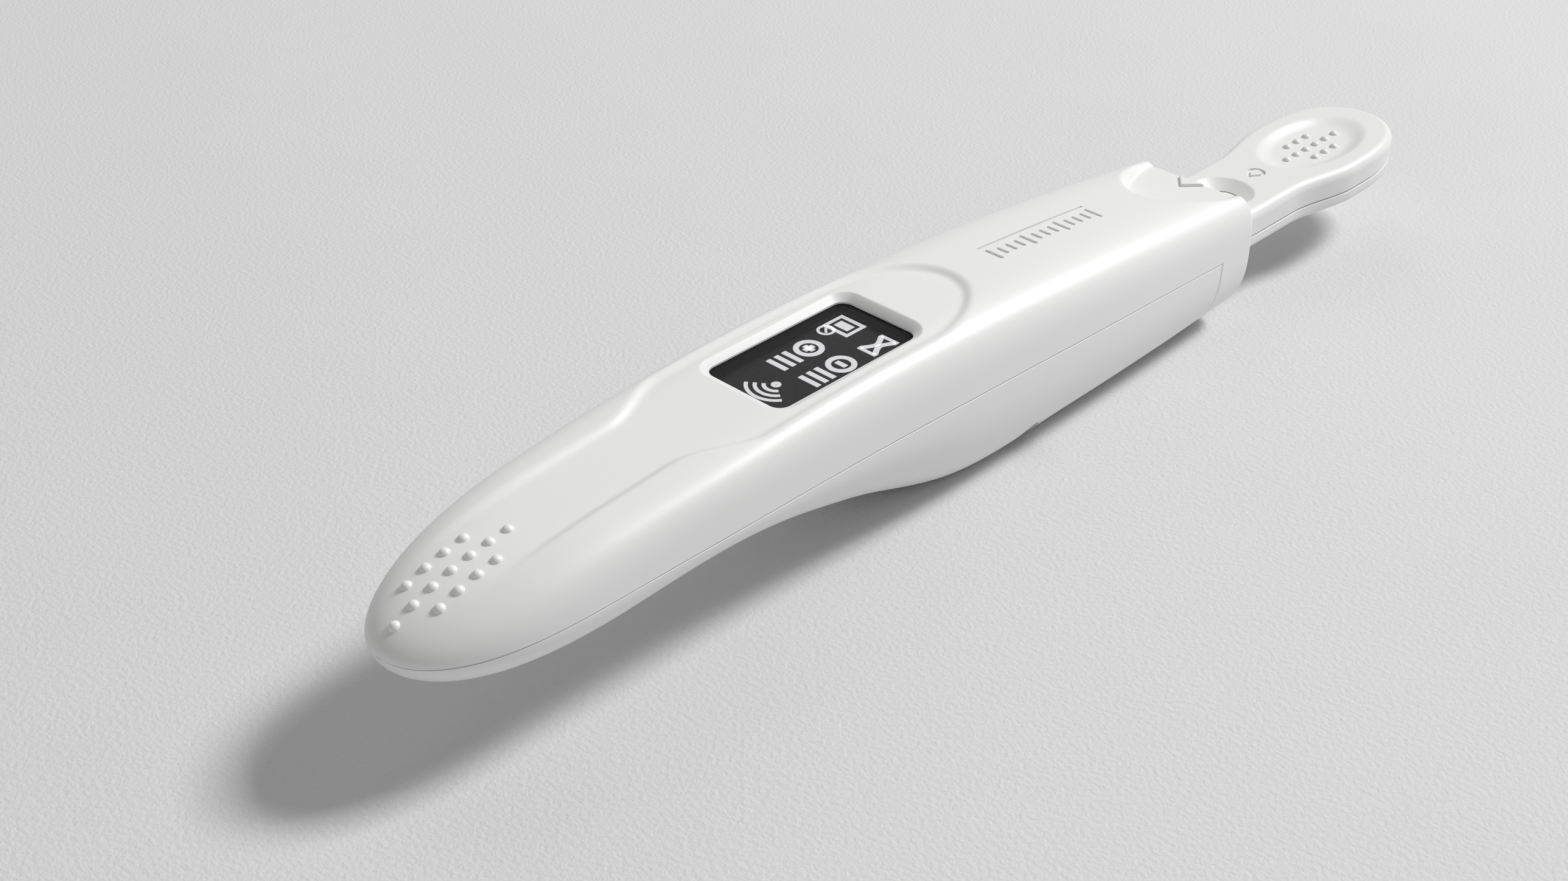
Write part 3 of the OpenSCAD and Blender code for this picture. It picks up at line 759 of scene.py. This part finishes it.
for across, upright in ((0.26, True), (0.72, False)):
    ring_at, bars_at = on_display(0.60, across), on_display(0.42, across)
    symbols += [lit(arc_points(ring_at, 1.5, 0, 345, 30), True)]
    symbols += lit_lines(ring_at, [[(0, -0.75), (0, 0.75)]])
    symbols += lit_lines(ring_at, [[(-0.75, 0), (0.75, 0)]], width=stroke * 0.98) if upright else []
    symbols += lit_lines(bars_at, [[(x, -1.5), (x, 1.5)] for x in (-1.25, 0.0, 1.25)])
wave_at = on_display(0.22, 0.52)
symbols += [lit(arc_points(wave_at, 0.35, 0, 330, 14), True, 0.5)]
symbols += [lit(arc_points(wave_at, radius, 125, 235), width=0.46) for radius in (1.4, 2.4, 3.4)]
display_symbols = joined("display_symbols", symbols)

lit_white, tree, shader = finish("lit_dots", {"Emission Strength": 1.15})
dot_pitch, dot_gap = 0.17 * MM, 0.12
spot_along = tree.node("SeparateXYZ", {}, {0: places_on(tree)}, 0)
spot_across = tree.node("SeparateXYZ", {}, {0: places_on(tree)}, 1)
lit_along = spot_along.math("PINGPONG", spot_along, dot_pitch / 2) * (2 / dot_pitch) > dot_gap
lit_across = spot_across.math("PINGPONG", spot_across, dot_pitch / 2) * (2 / dot_pitch) > dot_gap
glow = lit_along * lit_across
feed(shader, "Base Color", tint(tree, glow, (0.20, 0.20, 0.21), (0.62, 0.62, 0.63)))
feed(shader, "Emission Color", tint(tree, glow, (0.62, 0.62, 0.64), (0.97, 0.97, 1.0)))
feed(shader, "Roughness", 0.4 + glow * 0.1)
display_symbols.data.materials.append(lit_white)
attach(display_symbols, "reader")


# --- Display flex -----------------------------------------------------------------------------------
# Amber polyimide film with fine copper tracks. It bends down from the display's rear edge to the
# connector on the board.
flex_film, tree, shader = finish("flex_film", {"Specular IOR Level": 0.5})
across = tree.node("SeparateXYZ", {}, {0: places_on(tree)}, 1)
track_pitch = 0.0003
tracks = across.math("PINGPONG", across, track_pitch) * (1 / track_pitch) > 0.55
feed(shader, "Base Color", tint(tree, tracks, (0.50, 0.24, 0.05), (0.72, 0.36, 0.12)))
feed(shader, "Roughness", 0.3 + tracks * 0.12)
dress("display_flex", flex_film)


# --- Main board -------------------------------------------------------------------------------------
# Glass-fibre board under glossy green solder mask. Its copper tracks show faintly through the mask
# and raise it a little.
board_mask, tree, shader = finish("solder_mask", {"Specular IOR Level": 0.5, "Coat Roughness": 0.15})
track_map = {"Vector": places_on(tree), "Scale": 420}
islands = tree.node("TexVoronoi", {"feature": "DISTANCE_TO_EDGE"}, track_map, "Distance")
tracks = 1 - (islands > 0.09)
weave = grain(tree, 0.0004, 2.0)
feed(shader, "Base Color", tint(tree, tracks, (0.012, 0.12, 0.045), (0.03, 0.24, 0.09)))
feed(shader, "Roughness", 0.3 + weave * 0.1)
feed(shader, "Coat Weight", 0.35 + tracks * 0.15)
feed(shader, "Normal", relief(tree, tracks + weave * 0.3, 0.00003, 0.6))
dress("main_board", board_mask)


# --- Chips, shield and small parts on the board -----------------------------------------------------
# Moulded black packages, a stamped tinned shield over the radio, tan ceramic parts, clear resin LEDs
# and the round black buzzer.
def drawn_metal(name, colour, roughness, stretch=(60.0, 900.0, 900.0)):
    """Plated or rolled metal with fine lines along one direction."""
    made, tree, shader = finish(name, {"Metallic": 1.0})
    drawn = tree.node("Mapping", {}, {"Vector": places_on(tree), "Scale": stretch}, 0)
    lines = tree.node("TexNoise", {}, {"Vector": drawn, "Scale": 6.0, "Detail": 3.0}, "Fac")
    stain = grain(tree, 0.003, 3.0)
    feed(shader, "Base Color", tint(tree, stain, tuple(c * 0.88 for c in colour), colour))
    feed(shader, "Roughness", roughness - 0.05 + lines * 0.16 + stain * 0.06)
    feed(shader, "Normal", relief(tree, lines, 0.000006, 0.5))
    return made


chip_black = moulded("chip_package", (0.022, 0.022, 0.023), 0.62, 0.00012, 0.000006)
dress("processor_chip", chip_black)
dress("light_sensor", chip_black)
dress("radio_module", drawn_metal("tinned_shield", (0.68, 0.69, 0.70), 0.32))
dress("board_components", moulded("ceramic", (0.36, 0.27, 0.17), 0.5, 0.0002))
dress("buzzer", moulded("buzzer_black", (0.018, 0.018, 0.02), 0.48, 0.00025))
resin, tree, shader = finish("led_resin", {"IOR": 1.5, "Transmission Weight": 0.35})
haze = grain(tree, 0.0006, 3.0)
feed(shader, "Base Color", tint(tree, haze, (0.84, 0.79, 0.55), (0.93, 0.90, 0.74)))
feed(shader, "Roughness", 0.18 + haze * 0.14)
dress("emitter_leds", resin)


# --- Optics, guide and switch -----------------------------------------------------------------------
# Light-tight black mouldings: the block with three light wells, the channel that the stick slides in,
# and the small detect switch with its natural-coloured plunger.
dress("optics_block", moulded("optics_black", (0.010, 0.010, 0.011), 0.78, 0.0002, 0.00002))
dress("stick_guide", frame_black)
dress("detect_switch", moulded("switch_black", (0.03, 0.03, 0.032), 0.5))
dress("switch_plunger", moulded("natural_acetal", (0.66, 0.655, 0.62), 0.42, 0.0005))
dress("retaining_spring", drawn_metal("spring_strip", (0.66, 0.66, 0.67), 0.24))


# --- Battery ----------------------------------------------------------------------------------------
# Two stacked steel coin cells in a black ring tray that hangs from the upper shell. A round plate
# above them and a strip beside them are gold-plated contacts.
dress("battery_tray", frame_black)
cell_steel, tree, shader = finish("cell_steel", {"Metallic": 1.0})
cell_low, cell_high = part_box("coin_cells")
centred = tree.node("VectorMath", {"operation": "SUBTRACT"}, {
    0: places_on(tree), 1: tuple((cell_low + cell_high) / 2)}, 0)
radius = tree.node("VectorMath", {"operation": "LENGTH"}, {0: centred}, "Value")
groove = 0.00011
turned = grain(tree, 0.0009, 2.0) * 0.3 + radius.math("PINGPONG", radius, groove) * (0.66 / groove)
feed(shader, "Base Color", tint(tree, grain(tree, 0.004), (0.60, 0.61, 0.62), (0.72, 0.73, 0.74)))
feed(shader, "Roughness", 0.2 + turned * 0.14)
feed(shader, "Normal", relief(tree, turned, 0.000005, 0.5))
dress("coin_cells", cell_steel)
dress("battery_contacts", drawn_metal("plated_contact", (0.76, 0.63, 0.34), 0.28))


# --- Screws -----------------------------------------------------------------------------------------
# Zinc-plated thread-forming screws with domed heads and cross recesses: three in deep seats under the
# belly hold the shells together, and four inside hold the board.
screw_head_width, screw_head_height = 3.0, 0.8
screw_steel = drawn_metal("plated_screw", (0.60, 0.60, 0.61), 0.3, (500.0, 500.0, 500.0))


def screw(place, head_z, tip_z):
    """A screw that points up, with the outer face of its head at head_z."""
    head = screw_head_width / 2
    profile = [(0.70, 0.0), (0.90, 0.1), (1.0, 0.35), (1.0, 0.97), (0.985, 1.0)]
    levels = [(circle(place, head * share, 40), head_z + rise * screw_head_height)
              for share, rise in profile]
    pitch = 0.55
    turns = int((tip_z - head_z - 1.4) / pitch)
    core, crest = screw_width / 2 - 0.16, screw_width / 2
    levels.append((circle(place, core, 40), head_z + screw_head_height))
    for i in range(turns):
        base = head_z + 1.15 + i * pitch
        for radius, rise in ((core, 0), (crest, 0.22), (core, 0.44)):
            levels.append((circle(place, radius, 40), base + rise))
    levels.append((circle(place, core * 0.4, 40), tip_z - 0.02))
    made = stacked("screw", levels)
    recess_length, recess_width, recess_depth = 1.5, 0.36, 0.55
    for size in ((recess_length, recess_width), (recess_width, recess_length)):
        low = (place[0] - size[0] / 2, place[1] - size[1] / 2, head_z - 0.5)
        high = (low[0] + size[0], low[1] + size[1], head_z + recess_depth)
        combine(made, box("recess", low, high))
    return made


case_set = joined("shell_screws", [screw(p, seat - screw_head_height, parting(p[0]) + 3.5)
                                   for p, seat in zip(case_screws, case_screw_seats)])
board_z = board_top - 1.0
board_set = joined("inner_screws", [
    screw(p, board_z - screw_head_height, board_top + 2.2) for p in board_screws])
for screws, node in ((case_set, "case_screws"), (board_set, "board_screws")):
    rounded_look(screws, 40)
    screws.data.materials.append(screw_steel)
    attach(screws, "reader")
    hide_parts(node)


# --- Test stick, upper half -------------------------------------------------------------------------
# The stick's moulded top: a waist that flares to an oval thumb grip with a bumped dish, a sample well,
# a drop engraved beside it, and a slot over the strip at the end inside the reader.
stick_start = reader_length - stick_insertion
stick_end = stick_start + stick_length
stick_top = stick_z + stick_thickness
stick_parting = stick_z + 2.1
stick_edge = 1.3
stick_wall = 1.2
head_width = 17.6
head_centre = stick_end - 14.6
flare = [reader_length + 15, reader_length + 27.4]
tail_corner = 2.0
head_fullness = 2.3
dish_place, dish_size, dish_depth = reader_length + 29.3, [21.6, 11.8], 0.9
well_place, well_width, well_floor = reader_length + 7.1, 8.8, 5.0


def stick_half(u):
    """Half width of the stick."""
    t = eased((u - flare[0]) / (flare[1] - flare[0]))
    corner = np.maximum(tail_corner - (u - stick_start), 0)
    straight = (stick_width + (head_width - stick_width) * t) / 2 - tail_corner + np.sqrt(
        tail_corner**2 - corner**2)
    x = np.clip((u - head_centre) / (stick_end - head_centre), 0, 1)
    oval = head_width / 2 * np.maximum(1 - x**head_fullness, 0) ** (1 / head_fullness)
    return np.maximum(np.where(u > head_centre, oval, straight), 0.05)


def from_outline(u, y):
    """Distance in from the stick's outline."""
    slope = (stick_half(u + 0.01) - stick_half(u - 0.01)) / 0.02
    side = (stick_half(u) - np.abs(y)) / np.sqrt(1 + slope**2)
    n, a, b = head_fullness, stick_end - head_centre, head_width / 2
    x, w = np.maximum(u - head_centre, 1e-6) / a, np.abs(y) / b + 1e-6
    reach = (x**n + w**n) ** (1 / n)
    steep = np.sqrt((x ** (n - 1) / a) ** 2 + (w ** (n - 1) / b) ** 2) * reach ** (1 - n)
    oval = (1 - reach) / (steep + 1e-9)
    return np.maximum(np.where(u > head_centre, oval, np.minimum(side, u - stick_start)), 0)


def edge_drop(inside, radius):
    """Fall of a face towards an edge rounded with this radius."""
    near = np.clip(radius - inside, 0, radius)
    return radius - np.sqrt(radius**2 - near**2)


def dish_drop(u, y):
    """Depth of the thumb dish, with a softly rounded rim."""
    inside = 1 - ((u - dish_place) / dish_size[0] * 2) ** 2 - (y / dish_size[1] * 2) ** 2
    return dish_depth * eased((inside + 0.06) / 0.62) * 0.82 + dish_depth * 0.18 * np.clip(inside, 0, 1)


stick_lengths = np.concatenate([
    stick_start + tail_corner * (1 - np.cos(np.linspace(0, np.pi / 2, 14))),
    np.linspace(stick_start + tail_corner + 0.6, flare[0], 60)[:-1],
    np.linspace(flare[0], head_centre, 56)[:-1],
    head_centre + (stick_end - head_centre) * np.sin(np.linspace(0, np.pi / 2, 64))])
across_shares = np.sin(np.linspace(1, -1, 111) * np.pi / 2)


def stick_ring(u, face_z, radius, up):
    """Ring of one half of the stick: a rounded face, two upright sides and the parting plane."""
    b = float(stick_half(np.array(u)))
    y = b * across_shares
    z = face_z - up * edge_drop(from_outline(np.full(len(y), u), y), radius)
    if up > 0:
        z = z - dish_drop(u, y)
    seam = stick_parting + up * seam_gap / 2
    inner = max(b - seam_depth, b / 2)
    shoulder = seam + up * seam_chamfer
    y = np.concatenate([[inner, b], y, [-b, -inner], np.linspace(-inner, inner, 12)[1:-1]])
    z = np.concatenate([[seam, shoulder], z, [shoulder, seam], np.full(10, seam)])
    return np.stack([np.full(len(y), u), y, z], 1)


def stick_half_solid(name, face_z, radius, up):
    return solid(name, [stick_ring(u, face_z, radius, up) for u in stick_lengths])


def strip_space(low, high):
    return box("strip_space", (stick_start + stick_wall, -stick_width / 2 + stick_wall, low),
               (flare[0] + 3, stick_width / 2 - stick_wall, high))


stick_upper = stick_half_solid("stick_upper", stick_top, stick_edge, 1)
combine(stick_upper, strip_space(stick_parting - 1, stick_top - stick_wall))
well_profile = [
    (well_floor / 2, -stick_wall - 0.5), (well_floor / 2, -stick_wall), (well_width / 2 - 0.12, -0.1),
    (well_width / 2, -0.02), (well_width / 2 + 0.3, 0.06), (well_width / 2 + 0.3, 1)]
combine(stick_upper, stacked("well", [
    (circle((well_place, 0), radius, 96), stick_top + rise) for radius, rise in well_profile]))
strip_low, strip_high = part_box("membrane")
reading_slot = [strip_low.x / MM + middle + 1.0, strip_high.x / MM + middle - 2.5]
slot_centre = ((reading_slot[0] + reading_slot[1]) / 2, 0)
slot_size = [reading_slot[1] - reading_slot[0], 4.0]


def slot_level(grow, rise):
    """Outline of the reading slot, larger by grow all round, and its height."""
    outline = rounded_outline(slot_centre, slot_size[0] + 2 * grow, slot_size[1] + 2 * grow, 1 + grow)
    return outline, stick_top + rise


combine(stick_upper, stacked("reading_slot", [
    slot_level(0, -stick_wall - 0.5), slot_level(0, -0.45), slot_level(0.4, 0.05), slot_level(0.4, 1)]))

drop_place, drop_radius, drop_length = reader_length + 15.4, 1.3, 3.5


def drop_outline(radius, length):
    """A drop with its point towards the well."""
    turns = np.linspace(-math.pi * 0.62, math.pi * 0.62, 25)
    body = np.stack([drop_place + radius * np.cos(turns), radius * np.sin(turns)], 1)
    return np.vstack([body, [(drop_place + radius - length, 0)]])


drop_depth = 0.3
drop_edge = drop_outline(drop_radius, drop_length)
drop_core = drop_outline(drop_radius - 0.5, drop_length - 1.3)
engraved_drop = stacked("drop", [(drop_edge, stick_top - drop_depth), (drop_edge, stick_top + 1)])
combine(engraved_drop, stacked("drop_core", [(drop_core, stick_top - 1), (drop_core, stick_top + 2)]))
combine(stick_upper, engraved_drop)

head_pitch, head_rows, head_sink = 2.44, 2.34, 0.16
head_bumps = []
for row in (-1, 0, 1):
    for i in range(3 if row else 6):
        u = dish_place + head_pitch * (i - 1 if row else i - 2.5)
        depth = float(dish_drop(u, row * head_rows))
        head_bumps.append(ball((u, row * head_rows, stick_top - depth - head_sink), bump_width / 2 * 0.96))
combine(stick_upper, joined("head_bumps", head_bumps), "UNION")
rounded_look(stick_upper)

stick_white, tree, shader = finish("stick_white", {"Specular IOR Level": 0.5, "Coat Roughness": 0.25})
cloud, skin_grain = grain(tree, 0.02, 2.0), grain(tree, 0.0004, 2.0)
feed(shader, "Base Color", tint(tree, cloud, (0.815, 0.815, 0.813), (0.830, 0.830, 0.828)))
feed(shader, "Roughness", 0.38 + cloud * 0.05 + skin_grain * 0.05)
feed(shader, "Coat Weight", 0.15 + cloud * 0.05)
feed(shader, "Normal", relief(tree, skin_grain, 0.000007, 0.5))
stick_upper.data.materials.append(stick_white)
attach(stick_upper, "test_stick")
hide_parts("stick_upper_shell")


# --- Test stick, lower half -------------------------------------------------------------------------
# The stick's tray, pressed onto the upper half at a fine seam, with the bed that carries the strip.
lower_edge = 1.15
stick_lower = stick_half_solid("stick_lower", stick_z, lower_edge, -1)
combine(stick_lower, strip_space(stick_z + stick_wall, stick_parting + 1))
card_low, card_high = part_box("backing_card")
bed_width = 3.8
bed_low = (card_low.x / MM + middle, -bed_width / 2, stick_z + 1)
bed_high = (card_high.x / MM + middle, bed_width / 2, card_low.z / MM)
combine(stick_lower, box("strip_bed", bed_low, bed_high), "UNION")
rounded_look(stick_lower)
stick_lower.data.materials.append(stick_white)
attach(stick_lower, "test_stick")
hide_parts("stick_lower_shell")


# --- Test strip -------------------------------------------------------------------------------------
# Fibre pads and a white membrane on a plastic card. The pad under the well draws the sample along,
# and the membrane carries two faint reading lines.
def fibrous(name, colour, painted_gap_shade, fibre=0.00035):
    """Matted fibre with painted shade between its threads: the colour darkens where the thread relief is
    low.
    """
    made, tree, shader = finish(name, {"Specular IOR Level": 0.1})
    drawn = tree.node("Mapping", {}, {"Vector": places_on(tree), "Scale": (0.35, 1.0, 1.0)}, 0)
    threads = grain(tree, fibre, 5.0, drawn)
    # painted shade: the gaps between the threads, low in the relief, take the darker second colour
    feed(shader, "Base Color", tint(tree, threads, painted_gap_shade, colour))
    feed(shader, "Roughness", 0.8 + threads * 0.15)
    feed(shader, "Normal", relief(tree, threads, 0.00005, 0.8))
    return made


# the second colour given to each fibre is the painted shade between its threads
pad_white = fibrous("fibre_pad", (0.90, 0.89, 0.86), (0.70, 0.69, 0.66))
dress("sample_pad", pad_white)
dress("absorbent_pad", pad_white)
dress("conjugate_pad", fibrous("dyed_fibre", (0.84, 0.68, 0.67), (0.66, 0.48, 0.48)))
dress("backing_card", moulded("white_card", (0.80, 0.80, 0.79), 0.5, 0.0004))
film, tree, shader = finish("membrane_film", {"Specular IOR Level": 0.2})
length = tree.node("SeparateXYZ", {}, {0: places_on(tree)}, 0)
lines = 0.0
for share in (0.35, 0.62):
    line_x = strip_low.x + (strip_high.x - strip_low.x) * share
    away = length.math("ABSOLUTE", length - line_x)
    lines = lines + (1 - (away > 0.0004))
pores = grain(tree, 0.0002, 4.0)
feed(shader, "Base Color", tint(tree, lines * 0.75, (0.90, 0.90, 0.88), (0.62, 0.30, 0.38)))
feed(shader, "Roughness", 0.7 + pores * 0.2)
feed(shader, "Normal", relief(tree, pores, 0.00002, 0.6))
dress("membrane", film)
